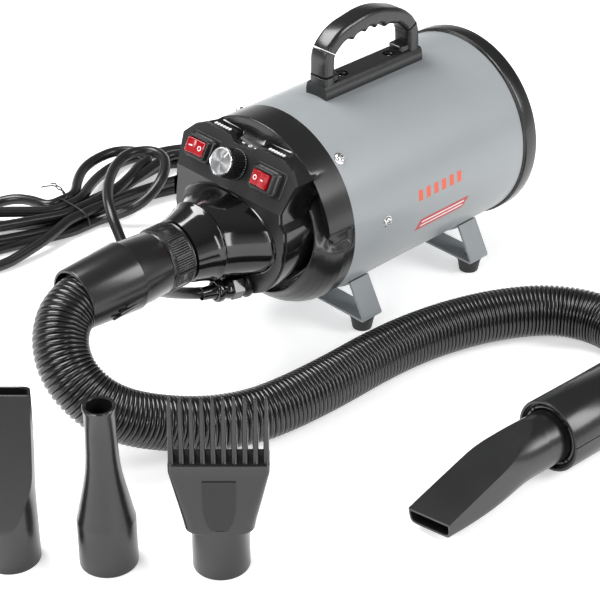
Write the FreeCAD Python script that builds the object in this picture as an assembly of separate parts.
import FreeCAD, Part
import math
import os
from FreeCAD import Placement, Rotation, Vector

# Pet dryer: a horizontal blower with a two-switch control head, a stretch hose,
# a wand with a pull-off nozzle, three spare nozzles and a mains cord tied in a hank.
# Millimetres.  +Z is up, the barrel lies along Y, the control head faces -Y.
# The origin is on the floor at the centre of the four feet.

os.makedirs("parts", exist_ok=True)

# ---------------------------------------------------------------- driving sizes
AXIS_Z = 100.0            # height of the barrel axis above the floor
BARREL_R = 75.0           # outer radius of the sheet-metal barrel
BARREL_WALL = 1.2
BARREL_FRONT = -93.0
BARREL_REAR = 92.0
CLEAR = 0.3               # running gap between pieces on different bodies
SHELF_Z = 137.5           # top of the shelf that carries the control board
FIT = 0.06                # radial clearance of a shaft or pin in its bore
ARC_SHARE = 0.45          # part of the shorter run that a tangent arc takes
SEAT = 0.02               # gap between pieces of one body that touch
OVER = 1.0                # how far a cutting tool passes the surface it cuts
NEAR_AXIS = 0.01          # inner radius of a turned solid profile
RIGHT_ANGLE = 90.0
FULL_TURN = 360.0
DOWN = 270.0              # angle of the underside of the barrel

SCREW_HEAD_R = 3.7
SCREW_HEAD_T = 2.4
SCREW_ROUND = 1.2
SCREW_SHANK_R = 1.9
SCREW_SHANK_LONG = 7.0
SCREW_HOLE_R = 2.0
SCREW_PILOT_R = 1.95
SLOT_HALF = 0.5
SLOT_DEEP = 0.9
HANDLE_HOLE_R = 2.2
FOOT_HOLE_R = 2.05

HEAD_WALL = 2.5           # wall of the moulded front head
BELL_FRONT = -128.0       # flat front of the bell
FACE_Y = -148.0           # lower face of the control panel
CREASE_Z = 132.0          # where the tilted control band begins
PANEL_TILT = 29.0         # degrees that the control band leans back
PANEL_T = 3.0
BOSS_R = 57.5             # round lower outline of the control boss

SWITCH_X = 34.0
CONTROL_Z = 148.3         # centre line of the switches and the knob
SWITCH_W = 21.0
SWITCH_H = 15.0
SWITCH_PROUD = 9.0
ROCKER_W = 16.4
ROCKER_H = 10.8
ROCKER_REST = 9.0         # degrees that a rocker leans at rest
KNOB_R = 10.5
KNOB_TALL = 15.8
KNOB_FLUTES = 30
CAP_T = 1.2               # turned disc on the knob
CAP_RIM = 1.1
SHAFT_R = 3.0             # potentiometer shaft
PANEL_HOLE_LOW = -12.0    # how far the panel cutters reach in and out
PANEL_HOLE_TALL = 20.0
PIVOT_DROP = 3.2          # rocker pivot below the top of the switch frame
SWITCH_DEEP = 16.0

SPOUT_HALF_W = 49.0       # oval root of the outlet spout
SPOUT_HALF_H = 31.0
FLANGE_Y = -178.0
FLANGE_R = 30.5
NECK_R = 21.7
RING_REAR = -197.7        # knurled lock ring
RING_FRONT = -217.7
RING_R = 24.0
CUFF_STEP = -243.5
CUFF_END = -289.5
CUFF_R = 25.4
CUFF_MOUTH_R = 22.3

HOSE_D = 38.6
CORD_D = 8.8

FOOT_X = 52.5
FOOT_Y = (-60.6, 60.6)
FOOT_TALL = 12.0
FOOT_TOP_R = 9.5
FOOT_LOW_R = 7.5
LEG_W = 20.0
LEG_T = 2.0
LEG_CORNER_X = 64.0
SADDLE_ANGLE = 51.0       # degrees below horizontal where a leg leaves the barrel

HANDLE_FRONT = -58.5
HANDLE_REAR = 42.5
HANDLE_TOP = 228.0
HANDLE_BASE_Z = 184.0
HANDLE_HALF_W = 10.5
GRIP_HALF_W = 8.5
GRIP_T = 10.5
HANDLE_SCREWS = (-32.5, 17.0)

RING_COVER_R = 77.0       # black collar round the rear end
RING_COVER_REAR = 107.0
GRILLE_R = 68.0

WAND_X = 262.5
WAND_Z = 26.2
WAND_FRONT = -97.0
WAND_YAW = 3.0            # degrees that the wand points towards -X of straight ahead
WAND_R = 26.2
WAND_LONG = 84.0
NOZZLE_R = 19.0
NOZZLE_LONG = 135.0
NOZZLE_ROLL = 12.0
NOZZLE_SOCKET = 22.0      # length of nozzle inside the coupling

SPARE_LONG = 119.0
SPARES = {"flat": (88.0, -418.0), "round": (131.0, -372.0), "comb": (183.0, -322.0)}

# Hose centre line from the cuff to the wand, chosen by hand.
HOSE_ROUTE = [
    (0, -263, 100), (0.3, -292.4, 99.8), (14.3, -315.8, 86.5), (36.2, -322.5, 66.5),
    (61, -307.6, 43.9), (81, -261, 23), (101, -222, 20), (107, -186, 20), (109, -146, 20),
    (108.6, -105, 20), (112, -65, 20), (121, -28, 20), (135, 6, 20), (156, 36, 20),
    (186, 52, 20), (220, 50, 20), (249, 33, 21.5), (268, 5, 25), (266.1, -27, 26.2),
]

# Mains cord centre line from the gland to the hank, chosen by hand.
CORD_ROUTE = [
    (14.66, -167.5, 62.8), (11.97, -181.2, 64.1), (-6, -188, 59), (-33, -184, 46),
    (-64, -169, 29), (-102, -148, 13), (-132, -135, 8), (-150, -129, 18), (-169, -123, 32),
    (-193, -108, 37), (-219, -80, 38), (-230, -55, 39), (-219, -35.5, 39), (-199, -38, 38.5),
    (-181, -58, 34), (-180, -78, 22), (-191, -93, 12), (-209, -115, 10),
]

# Outline of the tied hank of cord as it lies on the floor.
HANK_OUTLINE = [
    (-262, -252), (-235, -262), (-208, -256), (-195, -225), (-204, -165), (-203, -131),
    (-199, -90), (-186, -25), (-188, 12), (-206, 26), (-232, 18), (-250, -10),
    (-254, -60), (-242, -131), (-266, -190), (-275, -228),
]
HANK_LOW = 0.4
HANK_TOP = 28.0

UP = Vector(0, 0, 1)
ALONG_Y = Vector(0, 1, 0)
ALONG_X = Vector(1, 0, 0)


# ---------------------------------------------------------------- small helpers
def cyl_y(radius, y_low, y_high, x=0.0, z=AXIS_Z):
    """A cylinder along Y."""
    return Part.makeCylinder(radius, y_high - y_low, Vector(x, y_low, z), ALONG_Y)


def pipe_y(outer, inner, y_low, y_high, x=0.0, z=AXIS_Z):
    """A tube along Y."""
    return cyl_y(outer, y_low, y_high, x, z).cut(cyl_y(inner, y_low - 1, y_high + 1, x, z))


def cone_y(radius_low, radius_high, y_low, y_high, x=0.0, z=AXIS_Z):
    """A cone along Y with its radius given at both ends."""
    return Part.makeCone(radius_low, radius_high, y_high - y_low, Vector(x, y_low, z), ALONG_Y)


def block(x_low, x_high, y_low, y_high, z_low, z_high):
    """A box between two corners."""
    return Part.makeBox(x_high - x_low, y_high - y_low, z_high - z_low, Vector(x_low, y_low, z_low))


def polygon_face(points):
    """A flat face with straight edges."""
    return Part.Face(Part.makePolygon(points + [points[0]]))


def revolve_y(profile, x=0.0, z=AXIS_Z):
    """Turn a profile of (radius, y) points about an axis along Y."""
    face = polygon_face([Vector(x + radius, y, z) for radius, y in profile])
    return face.revolve(Vector(x, 0, z), ALONG_Y, 360)


def prism_x(profile, half_width):
    """Extrude a (y, z) outline to both sides of X = 0."""
    face = polygon_face([Vector(-half_width, y, z) for y, z in profile])
    return face.extrude(Vector(2 * half_width, 0, 0))


def arc_through(start, middle, end):
    return Part.Arc(Vector(*start), Vector(*middle), Vector(*end)).toShape()


def line(start, end):
    return Part.LineSegment(Vector(*start), Vector(*end)).toShape()


def save(name, shape):
    """Write one node as a STEP file."""
    solids = shape.Solids
    if not solids or not shape.isValid():
        print("PROBLEM", name, "solids", len(solids), "valid", shape.isValid())
    body = solids[0] if len(solids) == 1 else Part.makeCompound(solids)
    body.exportStep("parts/" + name + ".step")
    print(name, "solids", len(solids), "volume", round(shape.Volume))


def radial_place(angle, y):
    """Placement whose +Z points out of the barrel at an angle from +X."""
    return Placement(Vector(0, y, AXIS_Z), Rotation(ALONG_Y, 90.0 - angle))


def pan_screw(angle, y):
    """A pan-head screw standing radially in the barrel."""
    seat = BARREL_R + SEAT
    top = seat + SCREW_HEAD_T
    head = Part.makeCylinder(SCREW_HEAD_R, SCREW_HEAD_T, Vector(0, 0, seat))
    head = head.makeFillet(SCREW_ROUND, [head.Edges[0]])
    slot = block(-SCREW_HEAD_R, SCREW_HEAD_R, -SLOT_HALF, SLOT_HALF, top - SLOT_DEEP, top + OVER)
    cross = block(-SLOT_HALF, SLOT_HALF, -SCREW_HEAD_R, SCREW_HEAD_R, top - SLOT_DEEP, top + OVER)
    stem_at = Vector(0, 0, seat - SCREW_SHANK_LONG)
    stem = Part.makeCylinder(SCREW_SHANK_R, SCREW_SHANK_LONG + SLOT_HALF, stem_at)
    screw = head.fuse(stem).cut(slot).cut(cross)
    screw.Placement = radial_place(angle, y)
    return screw


DRILL_LONG = 30.0
DRILL_INSIDE = 20.0


def radial_hole(angle, y, radius):
    """A drill that passes through the barrel wall."""
    drill = Part.makeCylinder(radius, DRILL_LONG, Vector(0, 0, BARREL_R - DRILL_INSIDE))
    drill.Placement = radial_place(angle, y)
    return drill


# ---------------------------------------------------------------- control panel geometry
TILT = math.tan(math.radians(PANEL_TILT))


def panel_y(z):
    """Y of the tilted control band at a height."""
    return FACE_Y + (z - CREASE_Z) * TILT


def on_panel(x, height_out=0.0):
    """Placement on the control band: local X across, Y up the band, Z out of it."""
    tilt = math.radians(PANEL_TILT)
    base = Vector(x, panel_y(CONTROL_Z), CONTROL_Z)
    out = Vector(0, -math.cos(tilt), math.sin(tilt))
    return Placement(base + out * height_out, Rotation(ALONG_X, 90.0 - PANEL_TILT))


def placed(shape, placement):
    """Move a shape from local axes to its place."""
    moved = shape.copy()
    moved.Placement = placement.multiply(moved.Placement)
    return moved


WAIST_X = 53.7            # half width of the boss at the crease
WAIST_TALL = 8.0
SHOULDER_X = 58.3         # half width at the widest place of the band
SHOULDER_Z = 152.5
TOP_X = 42.5              # half width of the level top edge
TOP_Z = 164.5
ROUND_TOP = 14.0          # height above the axis where the round outline ends
BOSS_DEEP = 60.0
BOSS_TOOL_Z = (30.0, 172.0)
BOSS_TOOL_HALF_W = 80.0


def boss_outline(inset, y):
    """Closed outline of the control boss, drawn inwards by an inset."""
    radius = BOSS_R - inset
    side = math.sqrt(radius * radius - ROUND_TOP * ROUND_TOP)
    half = [
        (TOP_X - inset / 2, TOP_Z - inset), (SHOULDER_X - inset, SHOULDER_Z - inset / 3),
        (WAIST_X - inset, CREASE_Z), (WAIST_X - inset, CREASE_Z - WAIST_TALL), (side, AXIS_Z + ROUND_TOP),
    ]
    points = [(-x, y, z) for x, z in reversed(half)] + [(x, y, z) for x, z in half]
    edges = [line(points[i], points[i + 1]) for i in range(len(points) - 1)]
    edges.append(arc_through(points[-1], (0, y, AXIS_Z - radius), points[0]))
    return Part.Face(Part.Wire(edges))


def boss_block(inset, y_rear, offset):
    """The boss as a solid from y_rear to the panel surface moved back by an offset."""
    prism = boss_outline(inset, y_rear).extrude(Vector(0, -BOSS_DEEP, 0))
    low, tall = BOSS_TOOL_Z
    envelope = prism_x([
        (y_rear + OVER, low), (FACE_Y + offset, low), (FACE_Y + offset, CREASE_Z),
        (panel_y(tall) + offset, tall), (y_rear + OVER, tall),
    ], BOSS_TOOL_HALF_W)
    return prism.common(envelope)


BELL_ROUND_Y = -104.0     # where the bell begins to round over
BELL_ROUND_R = 22.0
BELL_STEPS = 6


def bell_profile(inset):
    """Half outline (radius, y) of the bell, moved inwards by an inset."""
    rear_r = BARREL_R - inset
    front = BELL_FRONT + inset
    points = [(rear_r, BARREL_FRONT), (rear_r, BELL_ROUND_Y)]
    for i in range(1, BELL_STEPS + 1):
        a = math.radians(RIGHT_ANGLE * i / BELL_STEPS)
        radius = rear_r - BELL_ROUND_R + BELL_ROUND_R * math.cos(a)
        points.append((radius, BELL_ROUND_Y + (front - BELL_ROUND_Y) * math.sin(a)))
    return points


def bell_solid(inset):
    profile = [(NEAR_AXIS, BARREL_FRONT)] + bell_profile(inset) + [(NEAR_AXIS, BELL_FRONT + inset)]
    return revolve_y(profile)


def oval_wire(half_w, half_h, y):
    """An oval round the barrel axis at a Y."""
    ellipse = Part.Ellipse(Vector(0, 0, 0), half_w, half_h)
    edge = ellipse.toShape()
    edge.Placement = Placement(Vector(0, y, AXIS_Z), Rotation(ALONG_X, 90))
    return Part.Wire([edge])


def circle_wire(radius, y, x=0.0, z=AXIS_Z):
    edge = Part.Circle(Vector(0, 0, 0), Vector(0, 0, 1), radius).toShape()
    edge.Placement = Placement(Vector(x, y, z), Rotation(ALONG_X, 90))
    return Part.Wire([edge])


def oval_prism(half_w, half_h, y_low, y_high):
    face = Part.Face(oval_wire(half_w, half_h, y_low))
    return face.extrude(Vector(0, y_high - y_low, 0))


# ---------------------------------------------------------------- barrel and head
SEAM_SCREWS = (46.0, 134.0, 270.0)
SEAM_SCREW_Y = -87.0
MOTOR_SCREWS = (1.0, 179.0)
MOTOR_SCREW_Y = -60.0


def barrel_shell():
    shell = pipe_y(BARREL_R, BARREL_R - BARREL_WALL, BARREL_FRONT, BARREL_REAR)
    for angle in SEAM_SCREWS:
        shell = shell.cut(radial_hole(angle, SEAM_SCREW_Y, SCREW_HOLE_R))
    for angle in MOTOR_SCREWS:
        shell = shell.cut(radial_hole(angle, MOTOR_SCREW_Y, SCREW_HOLE_R))
    for y in HANDLE_SCREWS:
        shell = shell.cut(radial_hole(RIGHT_ANGLE, y, HANDLE_HOLE_R))
    for y in FOOT_Y:
        shell = shell.cut(radial_hole(DOWN, y, FOOT_HOLE_R))
    return shell


BOSS_REAR = -106.0        # where the walls of the boss end inside the bell
HOLLOW_REAR = -94.0
HOLLOW_PAST = 5.0
HEAD_LIMIT = [(NEAR_AXIS, -105), (74.9, -105), (79.0, -134), (79.0, -190), (NEAR_AXIS, -190)]
SPIGOT_WALL = 2.4
SPIGOT_LONG = 15.0
SPIGOT_ROOT = 0.5
SPIGOT_ROOM = (-6.0, 20.0)
SHELF_HALF_W = 52.5
SHELF_Y = (-114.0, -107.0)
SHELF_T = 2.0


def front_housing():
    """Bell and boss walls, open at the front, with a spigot inside the barrel."""
    bell = bell_solid(0).cut(bell_solid(HEAD_WALL))
    walls = boss_block(0, BOSS_REAR, PANEL_T).common(revolve_y(HEAD_LIMIT))
    hollow = boss_block(HEAD_WALL, HOLLOW_REAR, PANEL_T - HOLLOW_PAST)
    spigot_r = BARREL_R - BARREL_WALL - FIT
    bore_r = spigot_r - SPIGOT_WALL
    spigot = pipe_y(spigot_r, bore_r, BARREL_FRONT - SPIGOT_ROOT, BARREL_FRONT + SPIGOT_LONG)
    housing = bell.fuse(walls).cut(hollow).fuse(spigot)
    inside = revolve_y([(NEAR_AXIS, BARREL_FRONT + SPIGOT_ROOM[1])] + bell_profile(HEAD_WALL)
                       + [(NEAR_AXIS, BELL_FRONT + HEAD_WALL)])
    room = pipe_y(bore_r, NEAR_AXIS, BARREL_FRONT + SPIGOT_ROOM[0], BARREL_FRONT + SPIGOT_ROOM[1])
    housing = housing.cut(inside.common(room))
    shelf = block(-SHELF_HALF_W, SHELF_HALF_W, SHELF_Y[0], SHELF_Y[1], SHELF_Z - SHELF_T, SHELF_Z)
    housing = housing.fuse(shelf)
    for angle in SEAM_SCREWS:
        housing = housing.cut(radial_hole(angle, SEAM_SCREW_Y, SCREW_PILOT_R))
    return housing.removeSplitter()


SPOUT_GAP = 0.15
SWITCH_LIP = 1.0          # how far the switch frame covers its hole
BUSH_R = 4.0              # threaded bush of the potentiometer
GLAND_STEM_R = 6.1
GLAND_TOOL = 60.0         # length of the drills that pass the gland
GLAND_BASE = (18.5, FACE_Y, 61.0)
GLAND_DIR = Vector(-0.19, -0.967, 0.09)


def gland_place(along=0.0):
    """Placement whose +Z runs out of the panel along the cord gland."""
    direction = Vector(GLAND_DIR).normalize()
    turn = Rotation(UP, direction)
    return Placement(Vector(*GLAND_BASE) + direction * along, turn)


def control_panel():
    """Front plate of the boss with its cut-outs."""
    plate = boss_block(0, BOSS_REAR, 0).cut(boss_block(0, BOSS_REAR, PANEL_T))
    plate = plate.common(revolve_y(HEAD_LIMIT))
    spout_hole = oval_prism(SPOUT_HALF_W + SPOUT_GAP, SPOUT_HALF_H + SPOUT_GAP,
                            FACE_Y - PANEL_T, FACE_Y + 3 * PANEL_T)
    plate = plate.cut(spout_hole)
    half_w = SWITCH_W / 2 - SWITCH_LIP
    half_h = SWITCH_H / 2 - SWITCH_LIP
    for side in (-1, 1):
        hole = block(-half_w, half_w, -half_h, half_h, PANEL_HOLE_LOW, PANEL_HOLE_LOW + PANEL_HOLE_TALL)
        plate = plate.cut(placed(hole, on_panel(side * SWITCH_X)))
    bush_hole = Part.makeCylinder(BUSH_R + 0.2, PANEL_HOLE_TALL, Vector(0, 0, PANEL_HOLE_LOW))
    plate = plate.cut(placed(bush_hole, on_panel(0)))
    bore = Part.makeCylinder(GLAND_STEM_R + 0.1, GLAND_TOOL, Vector(0, 0, PANEL_HOLE_LOW))
    return plate.cut(placed(bore, gland_place()))


SPOUT_WALL = 2.5
SPOUT_ROOT_Y = FACE_Y + 4.0
SPOUT_END_R = FLANGE_R - 1.5
FLANGE_T = 2.2
SPIGOT_R = 18.6           # bayonet spigot of the outlet
SPIGOT_BORE_R = 16.6
LUG_REACH = 19.6
LUG_HALF_H = 3.0
LUG_Y = (-12.0, -8.0)     # from the rear of the lock ring
ROOT_RIM_W = 4.0
ROOT_RIM_H = 1.0
ROOT_T = 2.5
NECK_FLARE = 3.0


def spout_skin(shrink, y_shift):
    """Oval-to-round loft of the outlet, drawn inwards by a wall."""
    root = oval_wire(SPOUT_HALF_W - shrink, SPOUT_HALF_H - shrink, SPOUT_ROOT_Y + y_shift)
    mouth = circle_wire(SPOUT_END_R - shrink, FLANGE_Y + 2 - y_shift)
    return Part.makeLoft([root, mouth], True, False)


def outlet_spout():
    """Oval-to-round outlet with its flange, neck and bayonet spigot."""
    flange = cyl_y(FLANGE_R, FLANGE_Y, FLANGE_Y + FLANGE_T)
    neck = cone_y(NECK_R, NECK_R + NECK_FLARE, RING_REAR, FLANGE_Y + 0.1)
    spigot = cyl_y(SPIGOT_R, RING_FRONT + 2, RING_REAR + 0.1)
    lugs = block(-LUG_REACH, LUG_REACH, RING_REAR + LUG_Y[0], RING_REAR + LUG_Y[1],
                 AXIS_Z - LUG_HALF_H, AXIS_Z + LUG_HALF_H)
    root = oval_prism(SPOUT_HALF_W + ROOT_RIM_W, SPOUT_HALF_H + ROOT_RIM_H,
                      SPOUT_ROOT_Y, SPOUT_ROOT_Y + ROOT_T)
    spout = spout_skin(0, 0).fuse(flange).fuse(neck).fuse(spigot).fuse(lugs).fuse(root)
    spout = spout.cut(spout_skin(SPOUT_WALL, 0.01))
    spout = spout.cut(cyl_y(SPIGOT_BORE_R, RING_FRONT - 5, FLANGE_Y + 3))
    mouth = oval_prism(SPOUT_HALF_W - SPOUT_WALL, SPOUT_HALF_H - SPOUT_WALL,
                       SPOUT_ROOT_Y - 0.1, SPOUT_ROOT_Y + 4)
    return spout.cut(mouth)


def spout_seal():
    """Flat gasket between the root of the spout and the panel."""
    outer = oval_prism(SPOUT_HALF_W + ROOT_RIM_W, SPOUT_HALF_H + ROOT_RIM_H, FACE_Y + PANEL_T, SPOUT_ROOT_Y)
    return outer.cut(oval_prism(SPOUT_HALF_W + 0.2, SPOUT_HALF_H + 0.2, FACE_Y, FACE_Y + 8))


# ---------------------------------------------------------------- switches and knob
SWITCH_BEVEL = 0.8
SWITCH_NECK_STEP = 1.2
ROCKER_SWING = 0.95       # room at the ends of a rocker for its swing
ROCKER_ROOM = 8.5
ROCKER_END_TOP = 4.7      # heights of the rocker outline above its pivot
ROCKER_CREST = 5.4
ROCKER_DISH = 4.2
ROCKER_LOW = 1.2
ROCKER_KEEL = 2.6
ROCKER_KEEL_HALF = 2.2


def switch_body(side):
    """Fixed frame of a rocker switch with a cavity for its rocker."""
    top = SWITCH_PROUD
    frame = block(-SWITCH_W / 2, SWITCH_W / 2, -SWITCH_H / 2, SWITCH_H / 2, SEAT, top)
    frame = frame.makeChamfer(SWITCH_BEVEL, [e for e in frame.Edges if e.CenterOfMass.z > top - 0.1])
    neck_w = SWITCH_W / 2 - SWITCH_NECK_STEP
    neck_h = SWITCH_H / 2 - SWITCH_NECK_STEP
    neck = block(-neck_w, neck_w, -neck_h, neck_h, -SWITCH_DEEP, OVER)
    half_w = ROCKER_W / 2 + ROCKER_SWING
    half_h = ROCKER_H / 2 + CLEAR
    cavity = block(-half_w, half_w, -half_h, half_h, top - ROCKER_ROOM, top + OVER)
    return placed(frame.fuse(neck).cut(cavity).removeSplitter(), on_panel(side * SWITCH_X))


def rocker(side):
    """Rocker cap, leaning towards the centre of the panel at rest."""
    pivot = SWITCH_PROUD - PIVOT_DROP
    half = ROCKER_W / 2
    outline = [
        (-half, pivot - ROCKER_LOW), (-half, pivot + ROCKER_END_TOP), (-half + 1, pivot + ROCKER_CREST),
        (0, pivot + ROCKER_DISH), (half - 1, pivot + ROCKER_CREST), (half, pivot + ROCKER_END_TOP),
        (half, pivot - ROCKER_LOW), (ROCKER_KEEL_HALF, pivot - ROCKER_KEEL),
        (-ROCKER_KEEL_HALF, pivot - ROCKER_KEEL),
    ]
    face = polygon_face([Vector(x, -ROCKER_H / 2, z) for x, z in outline])
    body = face.extrude(Vector(0, ROCKER_H, 0))
    body.rotate(Vector(0, 0, pivot), ALONG_Y, -side * ROCKER_REST)
    return placed(body, on_panel(side * SWITCH_X))


KNOB_LOW = 0.5
KNOB_TAPER = 0.5
FLUTE_R = 0.55
FLUTE_SHOULDER = 2.5
SHAFT_BORE = 11.0         # depth of the bore for the shaft in the knob
KNOB_RECESS_R = 5.0
KNOB_RECESS = 1.2
CAP_DISH = 0.85
POINTER_HALF_W = 0.5
POINTER_TURN = -28.0
POT_R = 8.5
POT_Z = (-15.0, -6.0)
BUSH_Z = (-7.0, 1.0)
SHAFT_Z = (-11.5, 11.0)


def speed_knob():
    """Fluted knob skirt, bored for the potentiometer shaft."""
    tall = KNOB_TALL - KNOB_LOW
    skirt = Part.makeCone(KNOB_R + KNOB_TAPER, KNOB_R, tall, Vector(0, 0, KNOB_LOW))
    for i in range(KNOB_FLUTES):
        groove = Part.makeCylinder(FLUTE_R, tall - FLUTE_SHOULDER, Vector(KNOB_R + 0.75, 0, KNOB_LOW))
        groove.rotate(Vector(0, 0, 0), UP, i * FULL_TURN / KNOB_FLUTES)
        skirt = skirt.cut(groove)
    bore_at = Vector(0, 0, KNOB_LOW - OVER)
    skirt = skirt.cut(Part.makeCylinder(SHAFT_R + NEAR_AXIS, SHAFT_BORE + OVER, bore_at))
    skirt = skirt.cut(Part.makeCylinder(KNOB_RECESS_R, KNOB_RECESS + OVER, bore_at))
    return placed(skirt, on_panel(0))


def knob_cap():
    """Turned aluminium face with a bright rim, in a seat on the skirt."""
    disc = Part.makeCylinder(KNOB_R - 0.2, CAP_T, Vector(0, 0, KNOB_TALL + 0.01))
    disc = disc.cut(Part.makeCylinder(KNOB_R - 0.2 - CAP_RIM, OVER, Vector(0, 0, KNOB_TALL + CAP_DISH)))
    return placed(disc, on_panel(0))


def knob_pointer():
    """Raised pointer line on the face of the knob."""
    bar = block(-POINTER_HALF_W, POINTER_HALF_W, KNOB_R * 0.35, KNOB_R - 1.5,
                KNOB_TALL + CAP_DISH + 0.01, KNOB_TALL + CAP_T + 0.1)
    bar.rotate(Vector(0, 0, 0), UP, POINTER_TURN)
    return placed(bar, on_panel(0))


def potentiometer():
    """Speed control behind the panel, with its bush and terminal tags."""
    body = Part.makeCylinder(POT_R, POT_Z[1] - POT_Z[0], Vector(0, 0, POT_Z[0]))
    bush = Part.makeCylinder(BUSH_R, BUSH_Z[1] - BUSH_Z[0], Vector(0, 0, BUSH_Z[0]))
    tags = block(-6, 6, -13, -7, -12, -10.5)
    hole = Part.makeCylinder(SHAFT_R + FIT, 14, Vector(0, 0, SHAFT_Z[0] - 0.5))
    return placed(body.fuse(bush).fuse(tags).cut(hole).removeSplitter(), on_panel(0))


def knob_shaft():
    """Turning shaft of the speed control."""
    return placed(Part.makeCylinder(SHAFT_R, SHAFT_Z[1] - SHAFT_Z[0], Vector(0, 0, SHAFT_Z[0])), on_panel(0))


# ---------------------------------------------------------------- cord gland, cord, plug
GLAND_LONG = 27.0
GLAND_STEM_Z = (-8.0, 4.0)
GLAND_COLLAR_R = 9.2
GLAND_COLLAR_Z = (2.1, 5.5)
THREAD_R = 7.6
THREAD_Z = (4.0, 13.0)
CORD_BORE_R = 4.6
SLEEVE_SEAT_R = 5.6
SLEEVE_SEAT_Z = 7.8
NUT_R = 9.6
NUT_Z = (5.6, 15.1)
DOME_R = (8.2, 7.0)
DOME_TALL = 4.5
SLEEVE_R = (5.55, 5.3)
SLEEVE_LOW = 8.0
RIM_R = (8.4, 7.6)
RIM_T = 4.0


def along_z(radius, span):
    """A cylinder along the local Z between two heights."""
    return Part.makeCylinder(radius, span[1] - span[0], Vector(0, 0, span[0]))


def hexagon(radius, z, x=0.0, y=0.0):
    """Corners of a hexagon in the XY plane."""
    corners = [math.radians(60 * i) for i in range(6)]
    return [Vector(x + radius * math.cos(a), y + radius * math.sin(a), z) for a in corners]


def gland_body():
    """Threaded body of the cord gland, fixed in the panel."""
    stem = along_z(GLAND_STEM_R, GLAND_STEM_Z)
    collar = along_z(GLAND_COLLAR_R, GLAND_COLLAR_Z)
    shape = stem.fuse(collar).fuse(along_z(THREAD_R, THREAD_Z))
    shape = shape.cut(Part.makeCylinder(CORD_BORE_R, GLAND_TOOL, Vector(0, 0, PANEL_HOLE_LOW)))
    shape = shape.cut(Part.makeCylinder(SLEEVE_SEAT_R, GLAND_TOOL, Vector(0, 0, SLEEVE_SEAT_Z)))
    return placed(shape.removeSplitter(), gland_place())


def gland_nut():
    """Hexagon cap nut over the gland thread."""
    flats = polygon_face(hexagon(NUT_R, NUT_Z[0])).extrude(Vector(0, 0, NUT_Z[1] - NUT_Z[0]))
    dome = Part.makeCone(DOME_R[0], DOME_R[1], DOME_TALL, Vector(0, 0, NUT_Z[1] - 0.1))
    shape = flats.fuse(dome).cut(along_z(THREAD_R + FIT, (THREAD_Z[0], THREAD_Z[1] + 0.01)))
    return placed(shape.cut(Part.makeCylinder(SLEEVE_SEAT_R, GLAND_TOOL)).removeSplitter(), gland_place())


def strain_relief():
    """Tapered rubber sleeve round the cord, ending in a rim."""
    sleeve = Part.makeCone(SLEEVE_R[0], SLEEVE_R[1], GLAND_LONG - SLEEVE_LOW, Vector(0, 0, SLEEVE_LOW))
    rim = Part.makeCone(RIM_R[0], RIM_R[1], RIM_T, Vector(0, 0, GLAND_LONG - RIM_T - 0.5))
    shape = sleeve.fuse(rim).cut(Part.makeCylinder(CORD_D / 2 + SEAT, GLAND_TOOL))
    return placed(shape.removeSplitter(), gland_place())


def rounded_chain(points, radii):
    """Straight runs joined by tangent arcs; the arc radii are added to the list."""
    edges = []
    last = points[0]
    for before, corner, after in zip(points, points[1:], points[2:]):
        arrive = (corner - before).normalize()
        leave = (after - corner).normalize()
        turn = arrive.getAngle(leave)
        reach = ARC_SHARE * min((corner - before).Length, (after - corner).Length)
        radius = reach / math.tan(turn / 2)
        radii.append(round(radius))
        start = corner - arrive * reach
        end = corner + leave * reach
        to_centre = (leave - arrive).normalize()
        middle = corner + to_centre * (radius / math.cos(turn / 2) - radius)
        edges.append(Part.LineSegment(last, start).toShape())
        edges.append(Part.Arc(start, middle, end).toShape())
        last = end
    edges.append(Part.LineSegment(last, points[-1]).toShape())
    return edges


def bent_path(points, name):
    """Centre line of a tube, with its arc radii and length printed."""
    radii = []
    wire = Part.Wire(rounded_chain([Vector(*point) for point in points], radii))
    print(name, "arc radii", radii, "length", round(wire.Length, 1))
    return wire


def swept_tube(points, diameter, name):
    """A round solid along a bent path, with its volume compared with section times length."""
    wire = bent_path(points, name)
    start = Vector(*points[0])
    direction = Vector(*points[1]) - start
    section = Part.Wire([Part.Circle(start, direction, diameter / 2).toShape()])
    tube = wire.makePipeShell([section], True, False)
    expected = math.pi * diameter * diameter / 4 * wire.Length
    print(name, "volume ratio", round(tube.Volume / expected, 4))
    return tube


def cord_hank():
    """Outer shape of the tied hank of cord."""
    face = polygon_face([Vector(x, y, HANK_LOW) for x, y in HANK_OUTLINE])
    return face.extrude(Vector(0, 0, HANK_TOP - HANK_LOW))


PLUG_X = -150.0
PLUG_Y = 34.0
PLUG_Z = 17.0
PLUG_PIN_R = 2.4
PLUG_PIN_GAP = 19.0
PLUG_PIN_LONG = 19.0
PLUG_PIN_ROUND = 1.2
PLUG_FACE_R = 17.0
PLUG_FACE_T = 9.0
PLUG_WAIST_R = 8.5
PLUG_WAIST_LONG = 24.0
PLUG_TAIL_R = 5.0
PLUG_TAIL_LONG = 10.0


def plug_body():
    """Moulded two-pin plug lying beside the hank, its cord end towards -X."""
    grip = Part.makeCylinder(PLUG_FACE_R, PLUG_FACE_T, Vector(PLUG_X, PLUG_Y, PLUG_Z), ALONG_X)
    waist_at = Vector(PLUG_X - PLUG_WAIST_LONG, PLUG_Y, PLUG_Z)
    waist = Part.makeCone(PLUG_WAIST_R, PLUG_FACE_R, PLUG_WAIST_LONG, waist_at, ALONG_X)
    tail_at = waist_at - Vector(PLUG_TAIL_LONG, 0, 0)
    tail = Part.makeCone(PLUG_TAIL_R, PLUG_WAIST_R, PLUG_TAIL_LONG, tail_at, ALONG_X)
    return grip.fuse(waist).fuse(tail).removeSplitter()


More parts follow.
